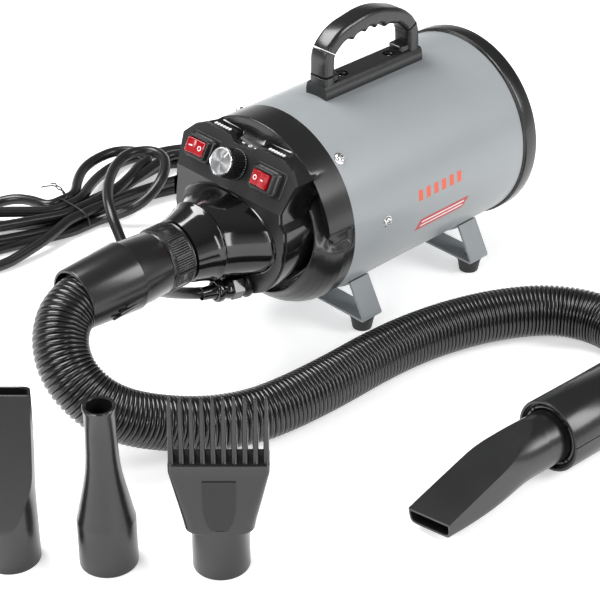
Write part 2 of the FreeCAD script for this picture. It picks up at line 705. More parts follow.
def plug_pins():
    """The two round-nosed contact pins."""
    pins = []
    for side in (-1, 1):
        at = Vector(PLUG_X + PLUG_FACE_T, PLUG_Y + side * PLUG_PIN_GAP / 2, PLUG_Z)
        pin = Part.makeCylinder(PLUG_PIN_R, PLUG_PIN_LONG, at, ALONG_X)
        tip = [e for e in pin.Edges if e.CenterOfMass.x > at.x + PLUG_PIN_LONG - OVER]
        pins.append(pin.makeFillet(PLUG_PIN_ROUND, tip))
    return Part.makeCompound(pins)


# ---------------------------------------------------------------- hose and its ends
RIB_COUNT = 36
RIB_R = 0.95
RIB_MARGIN = 1.5
RING_BODY_STEP = 0.7      # body of the ring below the tops of its ribs
RING_BORE_STEP = 1.6
CUFF_WALL = 2.0
CUFF_NOSE_R = (23.6, 22.8)
CUFF_FRONT_BORE_R = 20.4
KEY_COUNT = 3
KEY_PITCH = 4.0
KEY_T = 2.0
KEY_LOW_Z = AXIS_Z - 12.0
KEY_Y = (-33.0, -2.0)     # from the step of the cuff
KEY_INNER = 22.2
BUSH_OUTER_R = 16.55
BUSH_INNER_R = 14.6
BUSH_Y = (-3.0, 9.0)      # from the front of the lock ring
WEB_R = 22.0


def lock_ring():
    """Knurled ring that turns on the neck of the outlet."""
    ring = pipe_y(RING_R - RING_BODY_STEP, NECK_R - RING_BORE_STEP, RING_FRONT + CLEAR, RING_REAR - CLEAR)
    reach = RING_R - RIB_R
    for i in range(RIB_COUNT):
        angle = 2 * math.pi * i / RIB_COUNT
        x = reach * math.cos(angle)
        z = AXIS_Z + reach * math.sin(angle)
        ring = ring.fuse(cyl_y(RIB_R, RING_FRONT + RIB_MARGIN, RING_REAR - RIB_MARGIN, x, z))
    return ring


def hose_cuff():
    """Stepped hose end with raised keys on its side."""
    nose = cone_y(CUFF_NOSE_R[0], CUFF_NOSE_R[1], CUFF_STEP - OVER, RING_FRONT)
    shape = nose.fuse(cone_y(CUFF_MOUTH_R, CUFF_R, CUFF_END, CUFF_STEP))
    bore = cone_y(CUFF_MOUTH_R - CUFF_WALL, CUFF_R - 2 * CUFF_WALL, CUFF_END - OVER, CUFF_STEP)
    front_bore = cyl_y(CUFF_FRONT_BORE_R, CUFF_STEP - 2 * OVER, RING_FRONT + 2 * OVER)
    for i in range(KEY_COUNT):
        low = KEY_LOW_Z + KEY_PITCH * i
        key = block(KEY_INNER, CUFF_R - 0.2, CUFF_STEP + KEY_Y[0], CUFF_STEP + KEY_Y[1], low, low + KEY_T)
        shape = shape.fuse(key)
    bush = pipe_y(BUSH_OUTER_R, BUSH_INNER_R, RING_FRONT + BUSH_Y[0], RING_FRONT + BUSH_Y[1])
    web = pipe_y(WEB_R, BUSH_INNER_R, RING_FRONT + BUSH_Y[0], RING_FRONT)
    return shape.cut(bore).cut(front_bore).fuse(bush).fuse(web).removeSplitter()


def wand_place():
    """Placement of the wand: local -Y is its blowing direction, origin at its front rim."""
    return Placement(Vector(WAND_X, WAND_FRONT, WAND_Z), Rotation(UP, -WAND_YAW))


def wand_local(shape):
    return placed(shape, wand_place())


WAND_WALL = 2.6
WAND_RIB_Y = (20.0, 24.0)
WAND_RIB_BORE = 21.2
WAND_END_T = 4.0
WAND_END_BORE = 20.6
WAND_SEAM_HALF = 0.25
WAND_SEAM_TURN = 8.0      # degrees that the seam leans
WAND_TOOL = 40.0
COUPLING_R = 21.0
COUPLING_Y = (2.0, 34.0)
COUPLING_LIP_R = 22.6
COUPLING_LIP_Y = (2.0, 5.0)
CATCH_COUNT = 4
CATCH_HALF = 3.0
COLLAR_Y = (-20.0, -4.2)  # from the rear end of the wand
COLLAR_RIM_R = 24.0
COLLAR_RIM_Y = (0.05, 5.0)
THROAT_R = 20.5
THROAT_Y = (-4.3, 1.0)


def wand_ring(outer, inner, span, base=0.0):
    """A tube round the wand axis between two places along it."""
    return pipe_y(outer, inner, base + span[0], base + span[1], 0, 0)


def wand_half(upper):
    """One of the two shells of the wand grip."""
    shell = wand_ring(WAND_R, WAND_R - WAND_WALL, (0, WAND_LONG))
    rib = wand_ring(WAND_R - CUFF_WALL, WAND_RIB_BORE, WAND_RIB_Y)
    end = wand_ring(WAND_R - CUFF_WALL, WAND_END_BORE, (-WAND_END_T, 0), WAND_LONG)
    shell = shell.fuse(rib).fuse(end)
    span = (WAND_SEAM_HALF, WAND_TOOL) if upper else (-WAND_TOOL, -WAND_SEAM_HALF)
    half = shell.common(block(-WAND_TOOL, WAND_TOOL, -OVER, WAND_LONG + OVER, span[0], span[1]))
    half.rotate(Vector(0, 0, 0), ALONG_Y, WAND_SEAM_TURN)
    return wand_local(half)


def wand_coupling():
    """Inner collar that takes the nozzles, with four catches."""
    bore = NOZZLE_R + CLEAR
    shape = wand_ring(COUPLING_R, bore, COUPLING_Y).fuse(wand_ring(COUPLING_LIP_R, bore, COUPLING_LIP_Y))
    for i in range(CATCH_COUNT):
        notch = block(-CATCH_HALF, CATCH_HALF, 1, 7, 20, 24)
        notch.rotate(Vector(0, 0, 0), ALONG_Y, (i + 0.5) * FULL_TURN / CATCH_COUNT)
        shape = shape.cut(notch)
    return wand_local(shape.removeSplitter())


def wand_hose_collar():
    """Rear collar that holds the hose in the wand."""
    bore = HOSE_D / 2 + 0.2
    shape = wand_ring(WAND_R - WAND_WALL - 0.1, bore, COLLAR_Y, WAND_LONG)
    rim = wand_ring(COLLAR_RIM_R, bore + 0.2, COLLAR_RIM_Y, WAND_LONG)
    throat = wand_ring(THROAT_R, bore, THROAT_Y, WAND_LONG)
    return wand_local(shape.fuse(rim).fuse(throat).removeSplitter())


# ---------------------------------------------------------------- nozzles
NOZZLE_TOOL = 30.0        # half width of the cutters of the nozzles
SLANT_START = 0.26        # shares of the length
FLARE_START = 0.45
BORE_END = 0.30
DUCT_START = 0.29
LIP_TALL = 10.5           # height of the flat end
LIP_SHAVE = 2.2
FLARE_HALF = (15.0, 20.0)
FLARE_TALL = 11.5
NOZZLE_WALL = 2.0
DUCT_ROOT_HALF = (12.0, 11.0)
SLOT_HALF_W = 17.0
SLOT_Z = (4.0, 8.6)       # above the underside of the nozzle


def upright_rectangle(half_w, y, z_low, z_high):
    """A rectangle across Y as a closed wire."""
    corners = [Vector(-half_w, y, z_low), Vector(half_w, y, z_low), Vector(half_w, y, z_high),
               Vector(-half_w, y, z_high)]
    return Part.makePolygon(corners + corners[:1])


def flat_nozzle(length):
    """Round socket drawn out to a flat slot, along -Y from the origin, slot at the bottom."""
    radius = NOZZLE_R
    past = -length - OVER
    slant = polygon_face([Vector(-NOZZLE_TOOL, -length * SLANT_START, radius + OVER),
                          Vector(-NOZZLE_TOOL, past, LIP_TALL - radius),
                          Vector(-NOZZLE_TOOL, past, radius + OVER)]).extrude(Vector(2 * NOZZLE_TOOL, 0, 0))
    flare_y = -length * FLARE_START
    flare = polygon_face([Vector(-FLARE_HALF[0], flare_y, -radius), Vector(FLARE_HALF[0], flare_y, -radius),
                          Vector(FLARE_HALF[1], -length, -radius), Vector(-FLARE_HALF[1], -length, -radius)])
    flare = flare.extrude(Vector(0, 0, FLARE_TALL)).cut(slant)
    shave = block(-NOZZLE_TOOL, NOZZLE_TOOL, past, flare_y, -radius - OVER, LIP_SHAVE - radius)
    flare_shave = block(-NOZZLE_TOOL, NOZZLE_TOOL, past, 0, -radius - OVER, LIP_SHAVE - radius)
    outside = cyl_y(radius, -length, 0, 0, 0).cut(slant).cut(shave).fuse(flare.cut(flare_shave))
    bore = cyl_y(radius - NOZZLE_WALL, -length * BORE_END, OVER, 0, 0)
    root_w, root_h = DUCT_ROOT_HALF
    root = upright_rectangle(root_w, -length * DUCT_START, -root_h, root_h)
    mouth = upright_rectangle(SLOT_HALF_W, -length - OVER / 2, SLOT_Z[0] - radius, SLOT_Z[1] - radius)
    return outside.cut(bore).cut(Part.makeLoft([root, mouth], True, True))


def attached_nozzle():
    """Flat nozzle pushed into the wand."""
    shape = flat_nozzle(NOZZLE_LONG)
    shape.translate(Vector(0, NOZZLE_SOCKET, 0))
    shape.rotate(Vector(0, 0, 0), ALONG_Y, -NOZZLE_ROLL)
    return wand_local(shape)


def stand_up(shape, place, turn):
    """Stand a nozzle on its socket end at a floor position."""
    shape.rotate(Vector(0, 0, 0), ALONG_X, -90)
    shape.rotate(Vector(0, 0, 0), UP, turn)
    shape.translate(Vector(place[0], place[1], 0.0))
    return shape


SPARE_TURN = 46.0


def spare_flat():
    return stand_up(flat_nozzle(SPARE_LONG), SPARES["flat"], SPARE_TURN + 180.0)


ROUND_WALL = 2.0
ROUND_PROFILE = [(19.0, 0), (19.0, 36), (18.2, 39), (14.0, 58), (11.2, 78), (10.2, 98), (10.2, 121)]


def spare_round():
    """Bottle-shaped nozzle with a small round mouth."""
    outer = [Vector(r, 0, z) for r, z in ROUND_PROFILE]
    inner = [Vector(r - ROUND_WALL, 0, z) for r, z in reversed(ROUND_PROFILE)]
    bottle = polygon_face(outer + inner).revolve(Vector(0, 0, 0), UP, FULL_TURN)
    bottle.translate(Vector(SPARES["round"][0], SPARES["round"][1], 0))
    return bottle


COMB_TEETH = 10
COMB_SOCKET_R = (18.6, 16.6)
COMB_SOCKET_TALL = 42.0
COMB_HALF_T = 9.0
COMB_BODY = [(22, 36), (31.5, 76), (31.5, 84)]
COMB_CORE_HALF_T = 6.5
COMB_CORE = [(15, 35), (28.5, 77), (28.5, 85)]
COMB_SPAN = 59.0
TOOTH_ROOT = (2.0, 82.0)
TOOTH_TIP = (0.9, 129.0, 130.5)
TOOTH_T = 6.0


def comb_slab(half_outline, half_t):
    """A symmetrical slab from its (half width, height) outline."""
    right = [Vector(x, -half_t, z) for x, z in half_outline]
    left = [Vector(-x, -half_t, z) for x, z in reversed(half_outline)]
    return polygon_face(right + left).extrude(Vector(0, 2 * half_t, 0))


def spare_comb():
    """Comb nozzle: round socket, spreading body and a row of teeth."""
    outer, inner = COMB_SOCKET_R
    bore = Part.makeCylinder(inner, COMB_SOCKET_TALL + 3 * OVER, Vector(0, 0, -OVER))
    shape = Part.makeCylinder(outer, COMB_SOCKET_TALL).fuse(comb_slab(COMB_BODY, COMB_HALF_T))
    shape = shape.cut(comb_slab(COMB_CORE, COMB_CORE_HALF_T)).cut(bore)
    half, root_z = TOOTH_ROOT
    tip_half, tip_z, point_z = TOOTH_TIP
    for i in range(COMB_TEETH):
        x = COMB_SPAN * (i / (COMB_TEETH - 1) - 0.5)
        outline = [(x - half, root_z), (x + half, root_z), (x + tip_half, tip_z), (x, point_z),
                   (x - tip_half, tip_z)]
        tooth = polygon_face([Vector(u, -COMB_HALF_T, z) for u, z in outline])
        shape = shape.fuse(tooth.extrude(Vector(0, TOOTH_T, 0)))
    shape = shape.removeSplitter()
    shape.rotate(Vector(0, 0, 0), UP, SPARE_TURN)
    shape.translate(Vector(SPARES["comb"][0], SPARES["comb"][1], 0))
    return shape


# ---------------------------------------------------------------- handle
HANDLE_LOW = 176.0
HANDLE_FRONT_Z = 211.0
HANDLE_REAR_Z = 206.0
HANDLE_CREST = [(-42.0, -3.5), (-6.0, 3.0), (26.0, -7.5)]   # (y, height over the top line)
CREST_SLIDE = 0.6         # how the crest points move with an inset
SIDE_SLIDE = 0.7
HANDLE_LEAN = 1.5
GRIP_ROUND = 3.5
HANDLE_TOOL = 30.0
INSERT_HALF_W = 6.0
INSERT_T = 4.0
INSERT_Y = (-40.0, 18.0)
INSERT_Z = (205.0, 240.0)
DIP_COUNT = 3
DIP_R = 6.0
DIP_PITCH = 14.0
DIP_START = -24.0
DIP_DROP = 8.2
PLATE_LOW_Z = (172.0, 178.0)
PLATE_BEVEL = 2.5
HEAD_BORE_R = 4.6
HEAD_BORE_DEEP = 5.0
HANDLE_SHANK_HOLE = 2.1
HANDLE_HEAD_R = 3.9
HANDLE_HEAD_T = 2.4
HANDLE_SHANK_R = 2.0
HANDLE_SHANK_LOW = 16.5
NUT_ACROSS = 4.2
NUT_T = 2.8


def handle_face(inset, x):
    """D-shaped side outline of the handle at an X, moved inwards by an inset."""
    front = HANDLE_FRONT + inset
    rear = HANDLE_REAR - inset
    first, top, last = HANDLE_CREST
    points = [
        Vector(x, front, HANDLE_LOW), Vector(x, front, HANDLE_FRONT_Z - inset * SIDE_SLIDE),
        Vector(x, first[0] + inset * CREST_SLIDE, HANDLE_TOP + first[1] - inset),
        Vector(x, top[0], HANDLE_TOP + top[1] - inset),
        Vector(x, last[0] - inset * CREST_SLIDE, HANDLE_TOP + last[1] - inset),
        Vector(x, rear - HANDLE_LEAN, HANDLE_REAR_Z - inset * SIDE_SLIDE), Vector(x, rear, HANDLE_LOW),
    ]
    edges = rounded_chain(points, [])
    edges.append(Part.LineSegment(points[-1], points[0]).toShape())
    return Part.Face(Part.Wire(edges))


def handle_slab(inset, half_w):
    """The side outline of the handle extruded to both sides."""
    return handle_face(inset, -half_w).extrude(Vector(2 * half_w, 0, 0))


def handle_grip():
    """C-shaped grip, one moulding from end to end."""
    outer = handle_slab(0, GRIP_HALF_W)
    rims = [e for e in outer.Edges
            if abs(abs(e.CenterOfMass.x) - GRIP_HALF_W) < 0.01 and e.CenterOfMass.z > PLATE_LOW_Z[1] + 2]
    grip = outer.makeFillet(GRIP_ROUND, rims).cut(handle_slab(GRIP_T, HANDLE_TOOL))
    return grip.cut(block(-HANDLE_TOOL, HANDLE_TOOL, -80, 60, 100, HANDLE_BASE_Z + SEAT))


def handle_insert():
    """Finger-shaped insert under the top of the grip."""
    ring = handle_slab(GRIP_T + SEAT, INSERT_HALF_W).cut(handle_slab(GRIP_T + INSERT_T, HANDLE_TOOL))
    keep = block(-HANDLE_TOOL, HANDLE_TOOL, INSERT_Y[0], INSERT_Y[1], INSERT_Z[0], INSERT_Z[1])
    insert = ring.common(keep)
    for i in range(DIP_COUNT):
        place = Vector(-HANDLE_TOOL / 2, DIP_START + DIP_PITCH * i, HANDLE_TOP - GRIP_T - DIP_DROP)
        insert = insert.cut(Part.makeCylinder(DIP_R, HANDLE_TOOL, place, ALONG_X))
    return insert


def handle_base():
    """Saddle plate with counterbored screw holes."""
    low, bevel_z = PLATE_LOW_Z
    half = [(HANDLE_HALF_W, low), (HANDLE_HALF_W, bevel_z), (HANDLE_HALF_W - PLATE_BEVEL, HANDLE_BASE_Z)]
    outline = half + [(-x, z) for x, z in reversed(half)]
    section = polygon_face([Vector(x, HANDLE_FRONT, z) for x, z in outline])
    plate = section.extrude(Vector(0, HANDLE_REAR - HANDLE_FRONT, 0)).cut(cyl_y(BARREL_R + SEAT, -80, 70))
    for y in HANDLE_SCREWS:
        bore_at = Vector(0, y, HANDLE_BASE_Z - HEAD_BORE_DEEP)
        hole_at = Vector(0, y, HANDLE_LOW - HANDLE_SHANK_LOW)
        plate = plate.cut(Part.makeCylinder(HEAD_BORE_R, 2 * HEAD_BORE_DEEP, bore_at))
        plate = plate.cut(Part.makeCylinder(HANDLE_SHANK_HOLE, DRILL_LONG, hole_at))
    return plate


def handle_screws():
    """The two cross-head screws that hold the handle plate."""
    screws = []
    reach = HANDLE_HEAD_R + 0.1
    low = HANDLE_BASE_Z - HEAD_BORE_DEEP + SEAT
    slot_z = low + HANDLE_HEAD_T - SLOT_DEEP
    for y in HANDLE_SCREWS:
        head = Part.makeCylinder(HANDLE_HEAD_R, HANDLE_HEAD_T, Vector(0, y, low))
        slot = block(-reach, reach, y - SLOT_HALF, y + SLOT_HALF, slot_z, HANDLE_BASE_Z)
        cross = block(-SLOT_HALF, SLOT_HALF, y - reach, y + reach, slot_z, HANDLE_BASE_Z)
        shank = Part.makeCylinder(HANDLE_SHANK_R, 12, Vector(0, y, HANDLE_BASE_Z - HANDLE_SHANK_LOW))
        screws.append(head.fuse(shank).cut(slot).cut(cross))
    return Part.makeCompound(screws)


def handle_nuts():
    """Nuts inside the barrel that take the handle screws."""
    nuts = []
    low = AXIS_Z + BARREL_R - BARREL_WALL - 0.25 - 3
    for y in HANDLE_SCREWS:
        nut = polygon_face(hexagon(NUT_ACROSS, low, 0, y)).extrude(Vector(0, 0, NUT_T))
        nuts.append(nut.cut(Part.makeCylinder(HANDLE_SHANK_R + SEAT, 10, Vector(0, y, low - 3))))
    return Part.makeCompound(nuts)


# ---------------------------------------------------------------- legs and feet
LEG_BEND = 3.5
BEND_SHARE = 0.8
INNER_TURN = 1.8          # degrees that the inner outline leaves the saddle later
INNER_STEP = 2.3
LEG_HOLE_R = 2.1


def leg_outline(y, radius, end_angle, corner, bar_z):
    """Closed outline of a bracket: saddle arc, two sloping sides and the bar."""
    a = math.radians(end_angle)
    side_x = radius * math.cos(a)
    side_z = AXIS_Z - radius * math.sin(a)
    bar_x = corner - LEG_BEND * BEND_SHARE
    return Part.Face(Part.Wire([
        arc_through((-side_x, y, side_z), (0, y, AXIS_Z - radius), (side_x, y, side_z)),
        line((side_x, y, side_z), (corner, y, bar_z + LEG_BEND)),
        line((corner, y, bar_z + LEG_BEND), (bar_x, y, bar_z)),
        line((bar_x, y, bar_z), (-bar_x, y, bar_z)),
        line((-bar_x, y, bar_z), (-corner, y, bar_z + LEG_BEND)),
        line((-corner, y, bar_z + LEG_BEND), (-side_x, y, side_z)),
    ]))


def leg_frame(y_mid):
    """Closed bent-strip bracket: saddle, two sloping sides and a bottom bar."""
    y = y_mid - LEG_W / 2
    whole = leg_outline(y, BARREL_R + SEAT, SADDLE_ANGLE, LEG_CORNER_X, FOOT_TALL)
    hollow = leg_outline(y - OVER, BARREL_R + LEG_T, SADDLE_ANGLE + INNER_TURN, LEG_CORNER_X - INNER_STEP,
                         FOOT_TALL + LEG_T)
    frame = whole.extrude(Vector(0, LEG_W, 0)).cut(hollow.extrude(Vector(0, LEG_W + 2 * OVER, 0)))
    for side in (-1, 1):
        frame = frame.cut(Part.makeCylinder(LEG_HOLE_R, 20, Vector(side * FOOT_X, y_mid, FOOT_TALL / 2)))
    return frame.cut(Part.makeCylinder(LEG_HOLE_R, DRILL_LONG, Vector(0, y_mid, FOOT_TALL + 3 * LEG_T)))


FOOT_ROUND = 0.8
FOOT_BORE_R = 4.2
FOOT_BORE_DEEP = 3.0
FOOT_SCREW_Z = (0.8, 2.7, 16.7)
FOOT_HEAD_R = 3.8
FOOT_HEAD_T = 2.0
FOOT_NUT_R = 3.6
FOOT_NUT_T = 2.6
RIVET_R = 3.6
RIVET_T = 1.6
RIVET_SHANK_LONG = 5.0


def rubber_feet():
    """Four tapered feet with a bore for their screws."""
    feet = []
    for y in FOOT_Y:
        for side in (-1, 1):
            at = Vector(side * FOOT_X, y, 0)
            foot = Part.makeCone(FOOT_LOW_R, FOOT_TOP_R, FOOT_TALL - 0.02, at)
            low_edge = [e for e in foot.Edges if e.CenterOfMass.z < 0.1 and e.Closed]
            foot = foot.makeFillet(FOOT_ROUND, low_edge)
            foot = foot.cut(Part.makeCylinder(FOOT_BORE_R, FOOT_BORE_DEEP, at))
            feet.append(foot.cut(Part.makeCylinder(LEG_HOLE_R, DRILL_LONG, at)))
    return Part.makeCompound(feet)


def foot_screws():
    """Screws and nuts that hold the feet to the brackets."""
    screws = []
    head_z, shank_z, top_z = FOOT_SCREW_Z
    for y in FOOT_Y:
        for side in (-1, 1):
            x = side * FOOT_X
            shank = Part.makeCylinder(HANDLE_SHANK_R, top_z - shank_z, Vector(x, y, shank_z))
            head = Part.makeCylinder(FOOT_HEAD_R, FOOT_HEAD_T, Vector(x, y, head_z))
            nut = Part.makeCylinder(FOOT_NUT_R, FOOT_NUT_T, Vector(x, y, FOOT_TALL + LEG_T + 0.05))
            screws.append(shank.fuse(head).fuse(nut).removeSplitter())
    return Part.makeCompound(screws)


def leg_rivets():
    """Rivets that hold the two saddles to the barrel."""
    rivets = []
    for y in FOOT_Y:
        low = AXIS_Z - BARREL_R - LEG_T
        head = Part.makeCylinder(RIVET_R, RIVET_T, Vector(0, y, low - RIVET_T - SEAT))
        shank = Part.makeCylinder(HANDLE_SHANK_R, RIVET_SHANK_LONG, Vector(0, y, low - SLOT_HALF))
        rivets.append(head.fuse(shank))
    return Part.makeCompound(rivets)


# ---------------------------------------------------------------- rear end
COLLAR_BORE_R = 66.0
COLLAR_INSIDE_Y = 88.5
COLLAR_SHOULDER_Y = 92.6
COLLAR_ROUND = 2.5
GRILLE_SEAT_Y = (99.0, 104.0)
GRILLE_Y = (99.3, 102.3)
GRILLE_RIM_R = (65.4, 63.0)
GRILLE_RIM_Y = (90.0, 99.4)
SLOT_ROWS = 17
SLOT_PITCH = 7.0
SLOT_HALF_H = 1.7
SLOT_MARGIN = 7.0
SLOT_SHORT = 6.0
BAR_HALF_W = 2.5
FOAM_Y = (90.5, 99.28)
FOAM_R = 62.98


def rear_collar():
    """Black collar on the rear end of the barrel."""
    inside_r = BARREL_R - BARREL_WALL - 0.05
    return revolve_y([
        (COLLAR_BORE_R, COLLAR_INSIDE_Y), (inside_r, COLLAR_INSIDE_Y), (inside_r, COLLAR_SHOULDER_Y),
        (RING_COVER_R, COLLAR_SHOULDER_Y), (RING_COVER_R, RING_COVER_REAR - COLLAR_ROUND),
        (RING_COVER_R - COLLAR_ROUND, RING_COVER_REAR), (GRILLE_R + 2, RING_COVER_REAR),
        (GRILLE_R + 1, GRILLE_SEAT_Y[1]), (GRILLE_R + 1, GRILLE_SEAT_Y[0]),
        (COLLAR_BORE_R, GRILLE_SEAT_Y[0]),
    ])


def rear_grille():
    """Round intake grille with slots, lifted off towards +Y to clean the filter."""
    plate = cyl_y(GRILLE_R, GRILLE_Y[0], GRILLE_Y[1])
    for i in range(SLOT_ROWS):
        offset = SLOT_PITCH * (i - (SLOT_ROWS - 1) / 2)
        half = math.sqrt(max((GRILLE_R - SLOT_MARGIN) ** 2 - offset * offset, 0)) - 2
        if half > SLOT_SHORT:
            for span in ((-half, -BAR_HALF_W), (BAR_HALF_W, half)):
                plate = plate.cut(block(span[0], span[1], GRILLE_Y[0] - OVER, GRILLE_Y[1] + OVER,
                                        AXIS_Z + offset - SLOT_HALF_H, AXIS_Z + offset + SLOT_HALF_H))
    rim = pipe_y(GRILLE_RIM_R[0], GRILLE_RIM_R[1], GRILLE_RIM_Y[0], GRILLE_RIM_Y[1])
    return plate.fuse(rim).removeSplitter()


def filter_foam():
    """Foam filter disc behind the grille."""
    return cyl_y(FOAM_R, FOAM_Y[0], FOAM_Y[1])


# ---------------------------------------------------------------- inside the barrel
MOTOR_R = 38.0
ROTOR_R = 4.0             # motor shaft
SHAFT_Y = (-50.0, 74.0)
STATOR_BORE = 21.0
STATOR_Y = (-22.0, 14.0)
WINDING_R = (33.0, 23.0)
WINDING_Y = (-25.5, 18.0)
FRONT_HUB_R = (16.0, 9.55)
FRONT_HUB_Y = (-46.0, -36.0)
FRAME_RING_R = 46.0
FRAME_RING_Y = (-44.0, -20.0)
FRAME_ARM = (12.0, 44.0, -44.0, -38.0, 5.0)
ARM_COUNT = 4
ARMATURE_R = 20.3
ARMATURE_Y = (-20.0, 12.0)
ARMATURE_SLOTS = 12
ARMATURE_SLOT = (1.2, 14.0, 22.0)
COMMUTATOR_R = 11.0
COMMUTATOR_Y = (-34.0, -23.0)
FAN_R = 52.0
FAN_Y = (33.5, 56.5)
FAN_TALL = 15.0
FAN_HUB_R = 9.0
FAN_BACK = (8.5, 1.6)
FAN_FRONT = (21.0, 12.4, 14.0)
BLADE_COUNT = 9
BLADE_X = (15.0, 51.0)
BLADE_Y = (1.0, 13.0)
BLADE_HALF_T = 0.8
BLADE_SWEEP = 22.0
DRUM_R = (57.0, 55.0)
DRUM_Y = (26.0, 76.0)
DRUM_WALL = 2.0
EYE_R = 22.0
DRUM_BACK_BORE = 12.5
CARRIER_R = 60.0
CARRIER_Y = (44.0, 52.0)
CAN_R = 41.0
CAN_Y = (0.0, 27.0)
VENT_COUNT = 6
VENT = (16.0, 48.0, 25.0, 29.0, 3.0)
DIFFUSER_R = (54.98, 20.0)
DIFFUSER_Y = (49.4, 51.4)
REAR_BEARING = (12.48, 26.0, 33.0)
FRONT_BEARING = (9.52, -45.0, -38.0)
BRUSH_X = (11.4, 37.6)
BRUSH_Y = (-33.0, -26.0)
BRUSH_HALF_H = 4.5
PAD_COUNT = 3
PAD_Y = (43.0, 53.0)
PAD_HALF_W = 12.0
PAD_TURN = 30.0
TIE_RING_Y = (-72.0, -38.0)
TIE_HUB_R = (48.0, 46.02)
TIE_WEB_Y = (-40.0, -38.0)
TIE_HOLES = 8
TIE_HOLE_R = 7.5
TIE_HOLE_AT = 60.0
MICA_HALF_T = 0.8
MICA_HALF = 32.5
MICA_Y = (-112.0, -68.0)
MICA_RING_R = (34.0, 31.8)
MICA_ARM = (33.0, -71.5, -69.5, 4.0)
COIL_TURNS = 6
COIL_START = -106.0
COIL_PITCH = 6.5
COIL_R = (27.5, 26.2)
COIL_W = 1.6
COIL_GAP = (20.0, 34.0)
BOARD_X = (-24.0, 24.0)
BOARD_Y = (-112.0, -110.5)
BOARD_TOP = 158.0
TRIAC = (6.0, 16.0, -106.0, 142.0, 152.0)
CAPACITOR = (-18.0, -4.0, -103.0, 141.0, 150.0)


def turned(shape, angle):
    """Turn a shape about the barrel axis."""
    shape.rotate(Vector(0, 0, AXIS_Z), ALONG_Y, angle)
    return shape


def level_block(x_span, y_span, half_z):
    """A block centred on the height of the barrel axis."""
    return block(x_span[0], x_span[1], y_span[0], y_span[1], AXIS_Z - half_z, AXIS_Z + half_z)


def motor_stator():
    """Laminated field core with its windings, round the armature."""
    core = pipe_y(MOTOR_R, STATOR_BORE, STATOR_Y[0], STATOR_Y[1])
    windings = pipe_y(WINDING_R[0], WINDING_R[1], WINDING_Y[0], WINDING_Y[1])
    return core.fuse(windings).removeSplitter()


def motor_frame():
    """Front bracket that carries the front bearing, with four arms."""
    hub = pipe_y(FRONT_HUB_R[0], FRONT_HUB_R[1], FRONT_HUB_Y[0], FRONT_HUB_Y[1])
    shape = hub.fuse(pipe_y(FRAME_RING_R, MOTOR_R + SEAT, FRAME_RING_Y[0], FRAME_RING_Y[1]))
    inner, outer, low, high, half = FRAME_ARM
    for i in range(ARM_COUNT):
        arm = level_block((inner, outer), (low, high), half)
        shape = shape.fuse(turned(arm, (i + 0.5) * FULL_TURN / ARM_COUNT))
    return shape.removeSplitter()


def rotor_shaft():
    """Shaft of the motor and both fan wheels."""
    return cyl_y(ROTOR_R, SHAFT_Y[0], SHAFT_Y[1])


def armature():
    """Slotted core on the motor shaft."""
    core = pipe_y(ARMATURE_R, ROTOR_R, ARMATURE_Y[0], ARMATURE_Y[1])
    half, low, high = ARMATURE_SLOT
    for i in range(ARMATURE_SLOTS):
        slot = block(-half, half, ARMATURE_Y[0] - OVER, ARMATURE_Y[1] + OVER, AXIS_Z + low, AXIS_Z + high)
        core = core.cut(turned(slot, i * FULL_TURN / ARMATURE_SLOTS))
    return core


def commutator():
    """Contact ring in front of the armature."""
    return pipe_y(COMMUTATOR_R, ROTOR_R, COMMUTATOR_Y[0], COMMUTATOR_Y[1])


def impeller(y_low):
    """One centrifugal fan wheel with curved blades between two discs."""
    hub = pipe_y(FAN_HUB_R, ROTOR_R, y_low, y_low + FAN_TALL)
    back = pipe_y(FAN_R, FAN_BACK[0], y_low, y_low + FAN_BACK[1])
    front = pipe_y(FAN_R, FAN_FRONT[0], y_low + FAN_FRONT[1], y_low + FAN_FRONT[2])
    shape = hub.fuse(back).fuse(front)
    for i in range(BLADE_COUNT):
        blade = level_block(BLADE_X, (y_low + BLADE_Y[0], y_low + BLADE_Y[1]), BLADE_HALF_T)
        blade.rotate(Vector(BLADE_X[0], 0, AXIS_Z), ALONG_Y, BLADE_SWEEP)
        blade = turned(blade, i * FULL_TURN / BLADE_COUNT)
        shape = shape.fuse(blade.common(cyl_y(FAN_R, y_low, y_low + FAN_TALL)))
    return shape.removeSplitter()


def fan_shroud():
    """Drum round both fan wheels, with its intake eye at the rear."""
    outer, inner = DRUM_R
    low, high = DRUM_Y
    drum = pipe_y(outer, inner, low, high)
    eye = pipe_y(outer - OVER, EYE_R, high - DRUM_WALL, high)
    back = pipe_y(outer - OVER, DRUM_BACK_BORE, low, low + DRUM_WALL)
    carrier = pipe_y(CARRIER_R, outer - OVER, CARRIER_Y[0], CARRIER_Y[1])
    can = pipe_y(CAN_R, MOTOR_R + SEAT, CAN_Y[0], CAN_Y[1])
    shape = drum.fuse(eye).fuse(back).fuse(carrier).fuse(can)
    for i in range(VENT_COUNT):
        vent = level_block(VENT[0:2], VENT[2:4], VENT[4])
        shape = shape.cut(turned(vent, i * FULL_TURN / VENT_COUNT))
    return shape.removeSplitter()


def diffuser_plate():
    """Fixed guide plate between the two fan wheels."""
    return pipe_y(DIFFUSER_R[0], DIFFUSER_R[1], DIFFUSER_Y[0], DIFFUSER_Y[1])


def bearing(sizes):
    """Ring bearing on the motor shaft."""
    return pipe_y(sizes[0], ROTOR_R + FIT / 2, sizes[1], sizes[2])


def brush_holders():
    """The two carbon brush tubes beside the commutator."""
    holders = []
    for side in (-1, 1):
        reach = sorted((side * BRUSH_X[0], side * BRUSH_X[1]))
        holders.append(level_block(reach, BRUSH_Y, BRUSH_HALF_H))
    return Part.makeCompound(holders)


